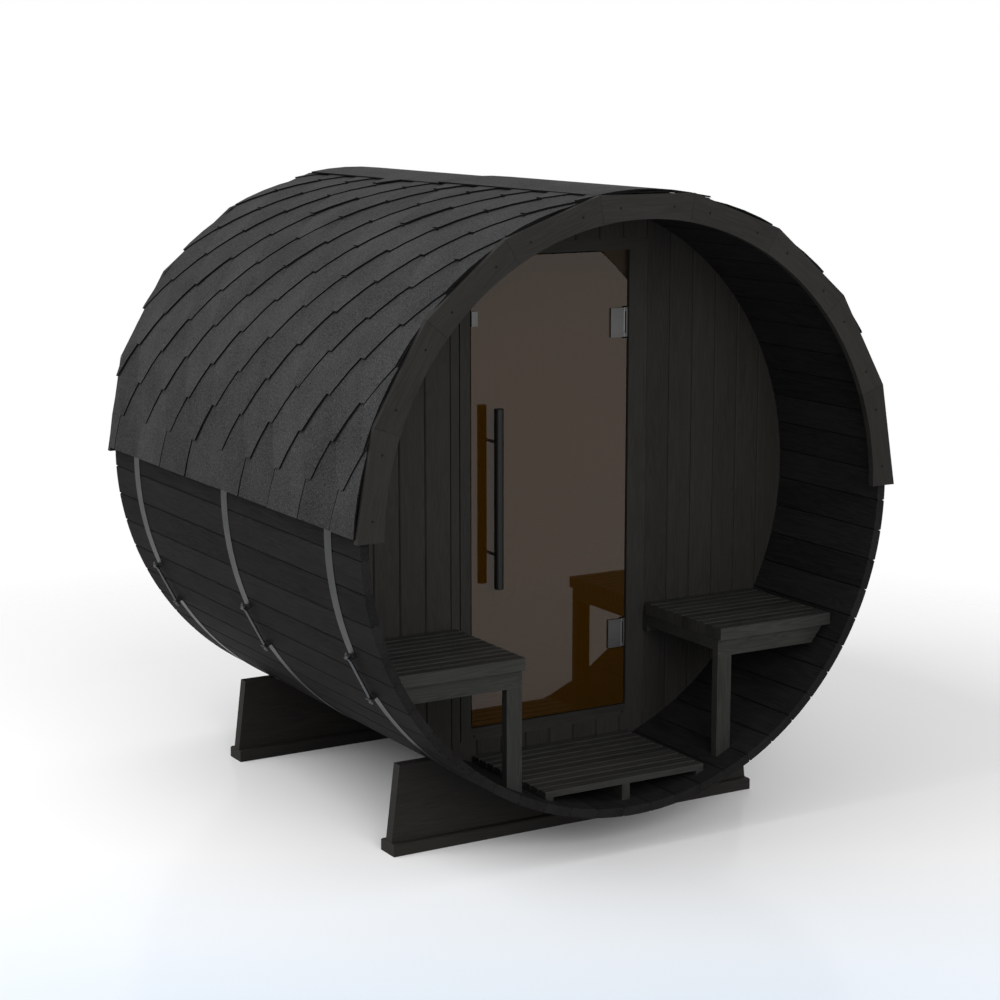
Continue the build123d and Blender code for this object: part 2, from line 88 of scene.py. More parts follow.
# Shingles lie on those below, so their lower ends are lifted. The lifts count in thicknesses
COURSE_LIFT = 2.3
UNEVEN_LIFT = 1.2
RIDGE_LIFT = 2.3
RIDGE_STRIP_LENGTH = 1.0
RIDGE_OVERLAP = 0.001
RIDGE_SEED = 21
TAB_GAP = 0.0002
SHOULDER_STEP = 0.001
EAVE_JOINT_GAP = 0.004
TONE_LAYER = "tab_tone"

# Screw heads narrow upwards to a share of their radius, and the recess is inset by another
SCREW_SIDES = 12
SCREW_TOP = 0.8
RECESS_INSET = 0.38
THRESHOLD_SCREW_INSET = 0.012
THRESHOLD_SCREW_RISE = 0.014

# Boards and slats, for the change of tone and grain from one to the next
BOARD_PITCH = 0.0964
OUTER_BOARD = 9
MOST_BOARDS = 60
CROSS_PITCH = 0.3
BEARER_PITCH = 0.2
SLAT_WIDTH = 0.04
SLAT_GAP = 0.0067
BENCH_RAIL_HEIGHT = 0.06
BOARD_SHIFT = (5.0, 3.0, 7.0)

# Noise seldom leaves this range, so it is taken from here to what a finish needs
FROM_NOISE = {"From Min": 0.3, "From Max": 0.7}


def linear_colour(code):
    """Turn an sRGB hex colour into the linear one that Blender works in."""
    channels = [int(code[start:start + 2], 16) / 255 for start in (1, 3, 5)]
    return [c / 12.92 if c <= 0.04045 else ((c + 0.055) / 1.055) ** 2.4 for c in channels]


def length_property(label, description, default):
    """A size in metres that a user may change."""
    return FloatProperty(
        name=label, description=description, default=default, unit="LENGTH", precision=4)


def share_property(label, description, default, largest):
    """A share that a user may change."""
    return FloatProperty(
        name=label, description=description, default=default, min=0, max=largest,
        subtype="FACTOR")


def colour_property(label, description, code):
    """A colour that a user may change, given as sRGB hex."""
    return FloatVectorProperty(
        name=label, description=description, default=linear_colour(code), subtype="COLOR",
        size=3, min=0, max=1)


class ShingleSizes(bpy.types.PropertyGroup):
    """Sizes of the bitumen shingles."""

    pitch: length_property("Tab pitch", "From one tab to the next along the roof", 0.2228)
    exposure: length_property("Exposure", "How much of each course shows", 0.1317)
    tab_end: length_property("Tab end", "Width of a tab's straight lower end", 0.034)
    tab_slant: length_property(
        "Tab slant", "How far a tab's side leans over one exposure", 0.077)
    shingle_length: length_property(
        "Shingle length", "From a tab's end to the shingle's hidden top", 0.29)
    thickness: length_property("Thickness", "Thickness of one shingle", 0.0048)
    eave_slant: length_property(
        "Eave joint slant", "How far a joint of the eave course leans", 0.036)
    first_tab: length_property(
        "First tab", "From the staves' front ends to the first tab", 0.1034)
    front_cover: length_property(
        "Front cover", "How far the shingles lie over the fascia", 0.004)
    ridge_half_width: length_property(
        "Ridge strip half width", "From the ridge to the strip's edge", 0.178)
    unevenness: length_property("Unevenness", "How far a tab strays from its place", 0.0012)


class ScrewSizes(bpy.types.PropertyGroup):
    """Sizes and places of the countersunk screws."""

    head_radius: length_property("Head radius", "Radius of a screw head", 0.0045)
    head_rise: length_property("Head rise", "How far a head stands out of the wood", 0.0012)
    recess_depth: length_property("Recess depth", "Depth of the driver recess", 0.0009)
    fascia_spread: share_property(
        "Spread", "Distance of a fascia screw from its board's middle, over the width",
        0.28, 0.5)


class FinishColours(bpy.types.PropertyGroup):
    """Colours of the finishes, as they look in plain light."""

    stave_dark: colour_property(
        "Stave stain, dark", "Late wood of the stained staves", "#131312")
    stave_light: colour_property(
        "Stave stain, light", "Early wood of the stained staves", "#242323")
    board_dark: colour_property(
        "Board stain, dark", "Late wood of the stained boards", "#1e1d1c")
    board_light: colour_property(
        "Board stain, light", "Early wood of the stained boards", "#2a2927")
    bench_dark: colour_property(
        "Bench stain, dark", "Late wood of the black benches", "#1b1b1a")
    bench_light: colour_property(
        "Bench stain, light", "Early wood of the black benches", "#31312f")
    wood_dark: colour_property(
        "Bare wood, dark", "Late wood of the untreated pieces", "#8a5f36")
    wood_light: colour_property(
        "Bare wood, light", "Early wood of the untreated pieces", "#c79a68")
    # The corner blocks are bare wood. These dark browns are painted shade: the tone the blocks take
    # in their shaded corner, not a finish of their own.
    block_painted_shade_dark: colour_property(
        "Shade-darkened wood, dark", "Late wood of the corner blocks", "#140e02")
    block_painted_shade_light: colour_property(
        "Shade-darkened wood, light", "Early wood of the corner blocks", "#231908")
    granules_dark: colour_property(
        "Granules, dark", "Darker granules of the shingles", "#131314")
    granules_light: colour_property(
        "Granules, light", "Lighter granules of the shingles", "#4a4a4b")
    bitumen: colour_property("Bitumen", "Cut edges of the shingles", "#0d0d0e")
    deck: colour_property("Deck", "Edges and underside of the roof deck", "#2b2723")
    band: colour_property("Bands", "Steel bands", "#343536")
    zinc: colour_property("Zinc", "Plated bolts", "#5c5d5e")
    screw: colour_property("Screws", "Blackened screws", "#1e1e1e")
    stainless: colour_property("Stainless", "Hinges and catch plate", "#5c5c5c")
    powder: colour_property("Powder coat", "Outside handle and posts", "#0c0c0c")
    glass: colour_property("Glass", "Bronze door glass", "#573a0a")
    floor: colour_property("Floor", "Studio floor near the object", "#fafafa")
    floor_front: colour_property(
        "Floor, front", "Studio floor in front of the object", "#dbe3ec")


class StudioSettings(bpy.types.PropertyGroup):
    """Lights, floor and camera."""

    key_power: FloatProperty(
        name="Key light", description="Power of the front light", default=290, unit="POWER")
    top_power: FloatProperty(
        name="Top light", description="Power of the upper left light", default=230,
        unit="POWER")
    surround: FloatProperty(
        name="Surround", description="Strength of the light from all round", default=0.7)
    bounce: share_property(
        "Floor bounce", "Share of the floor's colour that lights the object", 0.45, 1)
    polish: share_property("Floor polish", "Share of polish in the matt floor", 0.04, 1)
    floor_radius: length_property("Floor radius", "Radius of the floor", 4.2)
    floor_edge: length_property(
        "Floor edge", "Width of the clear rim round the faded floor", 0.2)
    floor_solid: length_property("Solid floor", "Radius up to which the floor is solid", 2.2)
    blue_start: length_property(
        "Blue start", "How far in front of the middle the floor turns blue", 0.9)
    blue_end: length_property(
        "Blue end", "How far in front of the middle the floor is all blue", 2.1)
    lens: FloatProperty(
        name="Lens", description="Focal length in mm on a 36 mm sensor", default=81.4)
    camera_place: FloatVectorProperty(
        name="Camera place", description="Where the camera stands",
        default=(-3.97133, -6.8526, 2.47496), subtype="TRANSLATION", unit="LENGTH")
    camera_tilt: FloatProperty(
        name="Camera tilt", description="Angle of the view from straight down",
        default=radians(79.5045), subtype="ANGLE")
    camera_turn: FloatProperty(
        name="Camera turn", description="Angle of the view round the vertical",
        default=radians(-30.5133), subtype="ANGLE")


class SaunaSettings(bpy.types.PropertyGroup):
    """All settings of the scene."""

    shingles: PointerProperty(type=ShingleSizes)
    screws: PointerProperty(type=ScrewSizes)
    colours: PointerProperty(type=FinishColours)
    studio: PointerProperty(type=StudioSettings)


def settings():
    """The settings held by the scene."""
    return bpy.context.scene.sauna


# Meshes

def new_piece(name, maker, material_names):
    """Turn a finished bmesh into a piece that rides on the barrel, its faces outwards."""
    bmesh.ops.recalc_face_normals(maker, faces=maker.faces)
    mesh = bpy.data.meshes.new(name)
    maker.to_mesh(mesh)
    maker.free()
    for material_name in material_names:
        mesh.materials.append(bpy.data.materials[material_name])
    piece = bpy.data.objects.new(name, mesh)
    bpy.context.scene.collection.objects.link(piece)
    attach(piece, "barrel")
    return piece


def everything(maker):
    """All the parts of a bmesh, for a cut right through it."""
    return maker.verts[:] + maker.edges[:] + maker.faces[:]


def start_shingles():
    """An empty bmesh whose faces can carry a tone."""
    maker = bmesh.new()
    maker.faces.layers.float.new(TONE_LAYER)
    return maker


def shingle(maker, outline, thickness, shade):
    """Extrude an outline in the XY plane, its cut edges in material 1, and return its vertices."""
    base = maker.faces.new([maker.verts.new((x, y, 0)) for x, y in outline])
    raised = bmesh.ops.extrude_face_region(maker, geom=[base])["geom"]
    upper = [item for item in raised if isinstance(item, bmesh.types.BMVert)]
    bmesh.ops.translate(maker, verts=upper, vec=(0, 0, thickness))
    faces = {face for vert in upper for face in vert.link_faces} | {base}
    tone = maker.faces.layers.float[TONE_LAYER]
    for face in faces:
        face.normal_update()
        face.material_index = 0 if abs(face.normal.z) > 0.5 else 1
        face[tone] = shade
    return list({vert for face in faces for vert in face.verts})


def tab_outline(sizes):
    """A hexagonal tab and its hidden strip: X runs down the roof to the tab's end at 0."""
    end = sizes.tab_end / 2
    shoulder = end + sizes.tab_slant
    strip = (sizes.pitch - TAB_GAP) / 2
    strip_start = -sizes.exposure - SHOULDER_STEP
    return [
        (0, -end), (0, end),
        (-sizes.exposure, shoulder), (strip_start, strip), (-sizes.shingle_length, strip),
        (-sizes.shingle_length, -strip), (strip_start, -strip), (-sizes.exposure, -shoulder),
    ]


def eave_outline(sizes):
    """A piece of the straight course along the eave, with leaning joints."""
    half = (sizes.pitch - EAVE_JOINT_GAP) / 2
    lean = sizes.eave_slant / 2
    return [
        (0, -half + lean), (0, half + lean),
        (-sizes.exposure, half - lean), (-sizes.shingle_length, half - lean),
        (-sizes.shingle_length, -half - lean), (-sizes.exposure, -half - lean),
    ]


def lay_course(maker, sizes, outline, distance, first, chance):
    """Lay one course along the roof, with its lower ends at a distance from the ridge."""
    stray = sizes.unevenness
    hidden_top = (-sizes.shingle_length, 0, 0)
    for number in range(ceil((BARREL_REAR - first + sizes.pitch) / sizes.pitch)):
        verts = shingle(maker, outline, sizes.thickness, chance.random())
        rise = (COURSE_LIFT + UNEVEN_LIFT * chance.random() ** 2) * sizes.thickness
        tilt = Matrix.Rotation(-rise / sizes.shingle_length, 3, "Y")
        bmesh.ops.rotate(maker, verts=verts, cent=hidden_top, matrix=tilt)
        place = (
            distance + chance.uniform(-stray, stray),
            first + number * sizes.pitch + chance.uniform(-stray, stray), 0)
        bmesh.ops.translate(maker, verts=verts, vec=place)


def cut_shingles(maker, place, normal):
    """Cut the shingles off beyond a plane and close the cuts."""
    cut = bmesh.ops.bisect_plane(
        maker, geom=everything(maker), dist=CUT_TOLERANCE, plane_co=place, plane_no=normal,
        clear_outer=True)
    rims = [item for item in cut["geom_cut"] if isinstance(item, bmesh.types.BMEdge)]
    bmesh.ops.edgeloop_fill(maker, edges=rims, mat_nr=1)


def fold_over_roof(maker, side):
    """Crease the flat shingles of the roof's right or left half and bend them down."""
    for crease in reversed(CREASES):
        place = (side * crease, 0, 0)
        bmesh.ops.bisect_plane(
            maker, geom=everything(maker), dist=CUT_TOLERANCE, plane_co=place,
            plane_no=(1, 0, 0))
        beyond = [vert for vert in maker.verts if side * vert.co.x > crease + ON_CREASE]
        on_crease = [vert for vert in maker.verts if abs(side * vert.co.x - crease) <= ON_CREASE]
        for verts, angle in ((beyond, CREASE_ANGLE), (on_crease, CREASE_ANGLE / 2)):
            turn = Matrix.Rotation(side * angle, 3, "Y")
            bmesh.ops.rotate(maker, verts=verts, cent=place, matrix=turn)


def raise_to_roof(maker, height):
    """Lift the folded shingles from the ground to a height on the deck."""
    bmesh.ops.translate(maker, verts=maker.verts, vec=(0, 0, AXIS_HEIGHT + DECK_RADIUS + height))


def shingled_side(sizes, seed):
    """All shingles of the right half of the roof, in place."""
    maker = start_shingles()
    chance = random.Random(seed)
    first = BARREL_FRONT + sizes.first_tab
    lay_course(maker, sizes, eave_outline(sizes), EAVE_DISTANCE, first - sizes.pitch / 3, chance)
    course = 1
    distance = EAVE_DISTANCE - sizes.exposure
    while distance > sizes.ridge_half_width:
        start = first if course % 2 else first - sizes.pitch / 2
        lay_course(maker, sizes, tab_outline(sizes), distance, start, chance)
        course += 1
        distance -= sizes.exposure
    cut_shingles(maker, (0, BARREL_FRONT - sizes.front_cover, 0), (0, -1, 0))
    cut_shingles(maker, (0, BARREL_REAR, 0), (0, 1, 0))
    cut_shingles(maker, (RIDGE_OVERLAP, 0, 0), (-1, 0, 0))
    fold_over_roof(maker, 1)
    raise_to_roof(maker, CLEARANCE_ON_DECK)
    return maker


def screw_head(maker, sizes, place, facing):
    """One countersunk head with a driver recess, facing away from the wood."""
    head = bmesh.ops.create_cone(
        maker, cap_ends=True, segments=SCREW_SIDES, radius1=sizes.head_radius,
        radius2=SCREW_TOP * sizes.head_radius, depth=2 * sizes.head_rise)["verts"]
    faces = {face for vert in head for face in vert.link_faces}
    top = max(faces, key=lambda face: face.calc_center_median().z)
    before = set(maker.verts)
    bmesh.ops.inset_individual(
        maker, faces=[top], thickness=RECESS_INSET * sizes.head_radius)
    recess = [vert for vert in maker.verts if vert not in before]
    bmesh.ops.translate(maker, verts=recess, vec=(0, 0, -sizes.recess_depth))
    turn = Matrix.Rotation(radians(-90) * facing, 4, "X")
    bmesh.ops.transform(maker, matrix=Matrix.Translation(place) @ turn, verts=head + recess)


# Materials

def add_node(tree, kind, inputs=None, **node_settings):
    """Add a shader node with its settings. An input given as a node or a socket is linked."""
    node = tree.nodes.new("ShaderNode" + kind)
    for name, value in node_settings.items():
        setattr(node, name, value)
    for name, value in (inputs or {}).items():
        if isinstance(value, bpy.types.Node):
            value = value.outputs[0]
        if isinstance(value, bpy.types.NodeSocket):
            tree.links.new(value, node.inputs[name])
        else:
            node.inputs[name].default_value = value
    return node


def start_material(name):
    """A new material with an empty node tree, and that tree."""
    material = bpy.data.materials.new(name)
    material.use_nodes = True
    material.node_tree.nodes.clear()
    return material, material.node_tree


def close_material(material, shader):
    """Show a shader on the material's surface."""
    add_node(material.node_tree, "OutputMaterial", {"Surface": shader})
    return material


def scaled_colour(colour, share=1.0):
    """A colour times a share, with full alpha, for a socket."""
    return (*(min(1.0, share * channel) for channel in colour), 1.0)


def pattern(tree, vector, size_mm, **noise_inputs):
    """Noise with features of a real size in millimetres, along the axes of a vector."""
    per_metre = [1000 / size for size in size_mm]
    scaled = add_node(tree, "VectorMath", {0: vector, 1: per_metre}, operation="MULTIPLY")
    return add_node(tree, "TexNoise", {"Vector": scaled, "Scale": 1.0, **noise_inputs})


def weighted_sum(tree, *weighted_values):
    """Several values, each times its weight, added up."""
    total = 0.0
    for value, weight in weighted_values:
        total = add_node(
            tree, "Math", {0: value, 1: weight, 2: total}, operation="MULTIPLY_ADD")
    return total


def relief_shader(tree, tone, colours, height, strength, depth, **own_inputs):
    """The shader of a solid finish: a tone between two colours over a relief of a real depth."""
    base = add_node(tree, "Mix", {0: tone, 6: colours[0], 7: colours[1]}, data_type="RGBA")
    bump = add_node(tree, "Bump", {"Strength": strength, "Distance": depth, "Height": height})
    inputs = {name.replace("_", " "): value for name, value in own_inputs.items()}
    inputs |= {"Base Color": base.outputs[2], "Normal": bump}
    return add_node(tree, "BsdfPrincipled", inputs)


def grain_vector(tree, position, grain_axis, board_number):
    """Place with the grain along Z, moved from board to board, and a chance value for each."""
    parts = add_node(tree, "SeparateXYZ", {0: position})
    order = {"X": (1, 2, 0), "Y": (0, 2, 1), "Z": (0, 1, 2)}[grain_axis]
    turned = add_node(
        tree, "CombineXYZ", {to: parts.outputs[source] for to, source in enumerate(order)})
    chance = add_node(tree, "TexWhiteNoise", {"W": board_number}, noise_dimensions="1D")
    shift = add_node(tree, "VectorMath", {0: BOARD_SHIFT, "Scale": chance}, operation="SCALE")
    return add_node(tree, "VectorMath", {0: turned, 1: shift}, operation="ADD"), chance


def boards_round_barrel(tree, step, grain_axis):
    """Grain on boards set round the barrel, each a step further."""
    position = add_node(tree, "TexCoord").outputs["Object"]
    centred = add_node(
        tree, "VectorMath", {0: position, 1: (0, 0, AXIS_HEIGHT)}, operation="SUBTRACT")
    parts = add_node(tree, "SeparateXYZ", {0: centred})
    angle = add_node(
        tree, "Math", {0: parts.outputs[0], 1: parts.outputs[2]}, operation="ARCTAN2")
    steps = add_node(tree, "Math", {0: angle, 1: step}, operation="DIVIDE")
    number = add_node(tree, "Math", {0: steps}, operation="ROUND")
    back = add_node(tree, "Math", {0: number, 1: -step}, operation="MULTIPLY")
    turned = add_node(
        tree, "VectorRotate", {"Vector": centred, "Angle": back}, rotation_type="Y_AXIS")
    return grain_vector(tree, turned, grain_axis, number)


def boards_in_row(tree, row_axis, start, pitch, grain_axis, last=MOST_BOARDS):
    """Grain on boards side by side along an axis."""
    position = add_node(tree, "TexCoord").outputs["Object"]
    along = add_node(tree, "SeparateXYZ", {0: position}).outputs["XYZ".index(row_axis)]
    from_start = add_node(tree, "Math", {0: along, 1: start}, operation="SUBTRACT")
    boards = add_node(tree, "Math", {0: from_start, 1: pitch}, operation="DIVIDE")
    number = add_node(tree, "Math", {0: boards}, operation="FLOOR")
    held = add_node(tree, "Clamp", {"Value": number, "Min": -last - 1, "Max": last})
    return grain_vector(tree, position, grain_axis, held)


def slats(tree, node_name):
    """Grain across a row of slats that follow each other from front to back."""
    low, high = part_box(node_name)
    gaps = round((high.y - low.y - SLAT_WIDTH) / (SLAT_WIDTH + SLAT_GAP))
    return boards_in_row(tree, "Y", low.y, (high.y - low.y - SLAT_WIDTH) / gaps, "X")


def rails_on_legs(tree):
    """Grain upright in the porch benches' legs and level in the rails above them."""
    rail_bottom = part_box("porch_bench_left_slats")[0].z - BENCH_RAIL_HEIGHT
    upright, chance = boards_in_row(tree, "Y", 0.0, BEARER_PITCH, "Z")
    level = boards_in_row(tree, "Y", 0.0, BEARER_PITCH, "X")[0]
    position = add_node(tree, "TexCoord").outputs["Object"]
    height = add_node(tree, "SeparateXYZ", {0: position}).outputs[2]
    in_rail = add_node(tree, "Math", {0: height, 1: rail_bottom}, operation="GREATER_THAN")
    grain = add_node(tree, "Mix", {0: in_rail, 4: upright, 5: level}, data_type="VECTOR")
    return grain.outputs[1], chance


def wood(name, dark, light, layout, roughness, specular):
    """Planed softwood: fine rings in long loops, short fibres, and a tone for each board.

    A stain keeps the rings faint; bare wood shows them. The rings give the eye soft long
    lines, the fibres a dull broken sheen.
    """
    material, tree = start_material(name)
    vector, board = layout(tree)
    figure = pattern(tree, vector, (26, 26, 520), Detail=2.0, Distortion=0.8)
    ring_count = 9
    turns = add_node(tree, "Math", {0: figure, 1: 2 * pi * ring_count}, operation="MULTIPLY")
    waves = add_node(tree, "Math", {0: turns}, operation="SINE")
    rings = add_node(tree, "Math", {0: waves, 1: 0.5, 2: 0.5}, operation="MULTIPLY_ADD")
    fibres = pattern(tree, vector, (2.6, 2.6, 85), Detail=2.0)
    clouds = pattern(tree, vector, (70, 70, 240), Detail=3.0)
    streaks = weighted_sum(tree, (rings, 0.32), (fibres, 0.5), (board, 0.3), (clouds, 0.5))
    tone = add_node(tree, "MapRange", {"Value": streaks, "From Min": 0.35, "From Max": 1.15})
    sheen = add_node(tree, "MapRange", {
        "Value": fibres, **FROM_NOISE, "To Min": roughness - 0.07, "To Max": roughness + 0.07})
    shader = relief_shader(
        tree, tone, (scaled_colour(dark), scaled_colour(light)),
        height=weighted_sum(tree, (rings, 0.4), (fibres, 1.0)), strength=0.6, depth=0.0004,
        Roughness=sheen, Specular_IOR_Level=specular)
    return close_material(material, shader)


def shingle_granules(colours):
    """Bitumen shingle with crushed slate: matt, dark grey, with a light and dark speckle.

    Real granules are 1 to 2 mm across; the speckle is drawn at 5 mm so that it shows.
    """
    material, tree = start_material("shingle_granules")
    position = add_node(tree, "TexCoord").outputs["Object"]
    granules = pattern(tree, position, (5, 5, 5), Detail=3.0, Roughness=0.7)
    patches = pattern(tree, position, (160, 160, 160), Detail=2.0)
    tab = add_node(tree, "Attribute", attribute_name=TONE_LAYER).outputs["Fac"]
    spots = weighted_sum(tree, (granules, 1.7), (patches, 0.3), (tab, 0.1))
    tone = add_node(tree, "MapRange", {"Value": spots, "From Min": 0.73, "From Max": 1.43})
    sheen = add_node(tree, "MapRange", {
        "Value": granules, **FROM_NOISE, "To Min": 0.8, "To Max": 0.95})
    shades = (scaled_colour(colours.granules_dark), scaled_colour(colours.granules_light))
    shader = relief_shader(
        tree, tone, shades, height=granules, strength=0.5, depth=0.0012,
        Roughness=sheen, Specular_IOR_Level=0.08)
    return close_material(material, shader)


def cut_bitumen(colours):
    """Cut edge of a shingle: black bitumen on a felt core, matt and a little torn."""
    material, tree = start_material("cut_bitumen")
    position = add_node(tree, "TexCoord").outputs["Object"]
    torn = pattern(tree, position, (4, 4, 2), Detail=3.0)
    sheen = add_node(tree, "MapRange", {
        "Value": torn, **FROM_NOISE, "To Min": 0.7, "To Max": 0.9})
    shades = (scaled_colour(colours.bitumen, 0.6), scaled_colour(colours.bitumen))
    shader = relief_shader(
        tree, torn, shades, height=torn, strength=0.5, depth=0.001,
        Roughness=sheen, Specular_IOR_Level=0.08)
    return close_material(material, shader)


def steel(name, colour, line_mm, roughness, relief_mm):
    """Bare or plated steel: metallic, with lines or grains of a real size that spread its sheen."""
    material, tree = start_material(name)
    position = add_node(tree, "TexCoord").outputs["Object"]
    lines = pattern(tree, position, line_mm, Detail=2.0)
    stains = pattern(tree, position, (60, 60, 60), Detail=3.0)
    worn = weighted_sum(tree, (lines, 0.5), (stains, 0.5))
    tone = add_node(tree, "MapRange", {"Value": worn, **FROM_NOISE})
    sheen = add_node(tree, "MapRange", {
        "Value": worn, **FROM_NOISE, "To Min": roughness - 0.06, "To Max": roughness + 0.08})
    shader = relief_shader(
        tree, tone, (scaled_colour(colour, 0.72), scaled_colour(colour)),
        height=lines, strength=0.4, depth=relief_mm / 1000, Roughness=sheen, Metallic=1.0)
    return close_material(material, shader)


def powder_coat(colours):
    """Black polyester powder coat on steel tube: satin, with a baked coat's fine orange peel."""
    material, tree = start_material("powder_coat")
    position = add_node(tree, "TexCoord").outputs["Object"]
    peel = pattern(tree, position, (2.5, 2.5, 2.5), Detail=1.0)
    sheen = add_node(tree, "MapRange", {
        "Value": peel, **FROM_NOISE, "To Min": 0.3, "To Max": 0.4})
    shades = (scaled_colour(colours.powder), scaled_colour(colours.powder, 1.5))
    shader = relief_shader(
        tree, peel, shades, height=peel, strength=0.25, depth=0.0004,
        Roughness=sheen, Specular_IOR_Level=0.2)
    return close_material(material, shader)


def bronze_glass(colours):
    """Toughened bronze float glass: sharp reflections over a dark brown body, slightly wavy.

    Lamps shine through it into the cabin, so shadow rays meet a plain tint.
    """
    material, tree = start_material("bronze_glass")
    position = add_node(tree, "TexCoord").outputs["Object"]
    wave = pattern(tree, position, (900, 900, 260), Detail=1.0)
    shades = (scaled_colour(colours.glass, 0.9), scaled_colour(colours.glass))
    glass = relief_shader(
        tree, wave, shades, height=wave, strength=0.1, depth=0.001,
        Roughness=0.02, IOR=1.5, Specular_IOR_Level=0.31, Transmission_Weight=0.72)
    tint = add_node(tree, "BsdfTransparent", {"Color": scaled_colour(colours.glass)})
    shadow = add_node(tree, "LightPath").outputs["Is Shadow Ray"]
    return close_material(material, add_node(tree, "MixShader", {0: shadow, 1: glass, 2: tint}))


def finish_nodes(material, *node_names):
    """Give CAD nodes a finish."""
    for node_name in node_names:
        for material_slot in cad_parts[node_name].material_slots:
            material_slot.material = material


# Operators

class SAUNA_OT_wood_finishes(bpy.types.Operator):
    """Finish the staves, boards, benches and bare wood."""

    bl_idname = "sauna.wood_finishes"
    bl_label = "Wood finishes"

    def execute(self, context):
        colours = settings().colours
        stave = (colours.stave_dark, colours.stave_light)
        board = (colours.board_dark, colours.board_light)
        bench = (colours.bench_dark, colours.bench_light)
        bare = (colours.wood_dark, colours.wood_light)
        block_painted_shade = (colours.block_painted_shade_dark, colours.block_painted_shade_light)
        plywood = ([0.6 * channel for channel in colours.deck], colours.deck)
        # Each finish with its colours, roughness, specular level, grain and CAD nodes
        finishes = (
            ("stained_staves", stave, 0.62, 0.015,
             lambda tree: boards_round_barrel(tree, STAVE_STEP, "Y"),
             [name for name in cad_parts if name.endswith("_staves")]),
            ("stained_fascia", board, 0.62, 0.08,
             lambda tree: boards_round_barrel(tree, FACET_ANGLE, "X"),
             ("front_fascia", "rear_fascia")),
            ("roof_plywood", plywood, 0.75, 0.08,
             lambda tree: boards_round_barrel(tree, FACET_ANGLE, "Y"), ()),
            ("stained_wall_boards", board, 0.6, 0.08,
             lambda tree: boards_in_row(tree, "X", 0.0, BOARD_PITCH, "Z", OUTER_BOARD),
             ("front_wall_left", "front_wall_right", "front_wall_over_door",
              "front_wall_under_door", "rear_wall", "door_jamb_left", "door_jamb_right")),
            ("stained_cross_boards", board, 0.6, 0.08,
             lambda tree: boards_in_row(tree, "Z", 0.0, CROSS_PITCH, "X"),
             ("door_head", "door_threshold", "front_cradle_foot", "rear_cradle_foot",
              "front_cradle_saddle", "rear_cradle_saddle")),
            ("black_bench_slats", bench, 0.5, 0.12,
             lambda tree: slats(tree, "porch_bench_left_slats"),
             ("porch_bench_left_slats", "porch_bench_right_slats")),
            ("black_floor_slats", bench, 0.5, 0.12,
             lambda tree: slats(tree, "porch_floor_slats"), ("porch_floor_slats",)),
            ("black_bench_frames", bench, 0.55, 0.1, rails_on_legs,
             ("porch_bench_left_frame", "porch_bench_right_frame")),
            ("black_bearers", bench, 0.55, 0.1,
             lambda tree: boards_in_row(tree, "X", 0.0, BEARER_PITCH, "Y"),
             ("porch_floor_bearers",)),
            ("bare_cabin_bench_slats", bare, 0.55, 0.35,
             lambda tree: slats(tree, "cabin_bench_slats"), ("cabin_bench_slats",)),
            ("bare_cabin_floor_slats", bare, 0.55, 0.35,
             lambda tree: slats(tree, "cabin_floor_slats"), ("cabin_floor_slats",)),
            ("bare_bearers", bare, 0.55, 0.35,
             lambda tree: boards_in_row(tree, "X", 0.0, BEARER_PITCH, "Y"),
             ("cabin_bench_frame", "cabin_floor_bearers")),
            ("bare_handle", bare, 0.5, 0.4,
             lambda tree: boards_in_row(tree, "X", 0.0, CROSS_PITCH, "Z"), ("inner_handle",)),
            # Bare-wood corner blocks, given browns darkened as painted shade
            ("oiled_blocks", block_painted_shade, 0.5, 0.2,
             lambda tree: boards_in_row(tree, "X", 0.0, CROSS_PITCH, "X"),
             ("door_corner_blocks",)),
        )
        for name, (dark, light), roughness, specular, layout, node_names in finishes:
            finish_nodes(wood(name, dark, light, layout, roughness, specular), *node_names)
        return {"FINISHED"}


class SAUNA_OT_roof_finishes(bpy.types.Operator):
    """Make the finishes that the shingles take."""

    bl_idname = "sauna.roof_finishes"
    bl_label = "Roof finishes"

    def execute(self, context):
        shingle_granules(settings().colours)
        cut_bitumen(settings().colours)
        return {"FINISHED"}


class SAUNA_OT_metal_finishes(bpy.types.Operator):
    """Finish the bands, bolts, screws, hinges and handles."""

    bl_idname = "sauna.metal_finishes"
    bl_label = "Metal finishes"

    def execute(self, context):
        colours = settings().colours
        plated = {"line_mm": (6, 6, 6), "roughness": 0.42, "relief_mm": 0.1}
        rolled = steel(
            "rolled_band_steel", colours.band, line_mm=(90, 1.5, 90), roughness=0.42,
            relief_mm=0.05)
        finish_nodes(rolled, "steel_bands")
        finish_nodes(steel("zinc_plate", colours.zinc, **plated), "tension_bolts")
        steel("blackened_screw_steel", colours.screw, **plated)
        brushed = steel(
            "brushed_stainless", colours.stainless, line_mm=(60, 60, 1.2), roughness=0.3,
            relief_mm=0.05)
        finish_nodes(brushed, "door_hinge_leaves", "door_hinge_clamps", "door_catch_plate")
        finish_nodes(powder_coat(colours), "outer_handle", "inner_handle_posts")
        return {"FINISHED"}


class SAUNA_OT_door_glass(bpy.types.Operator):
    """Finish the door glass."""

    bl_idname = "sauna.door_glass"
    bl_label = "Door glass"

    def execute(self, context):
        finish_nodes(bronze_glass(settings().colours), "door_glass")
        return {"FINISHED"}


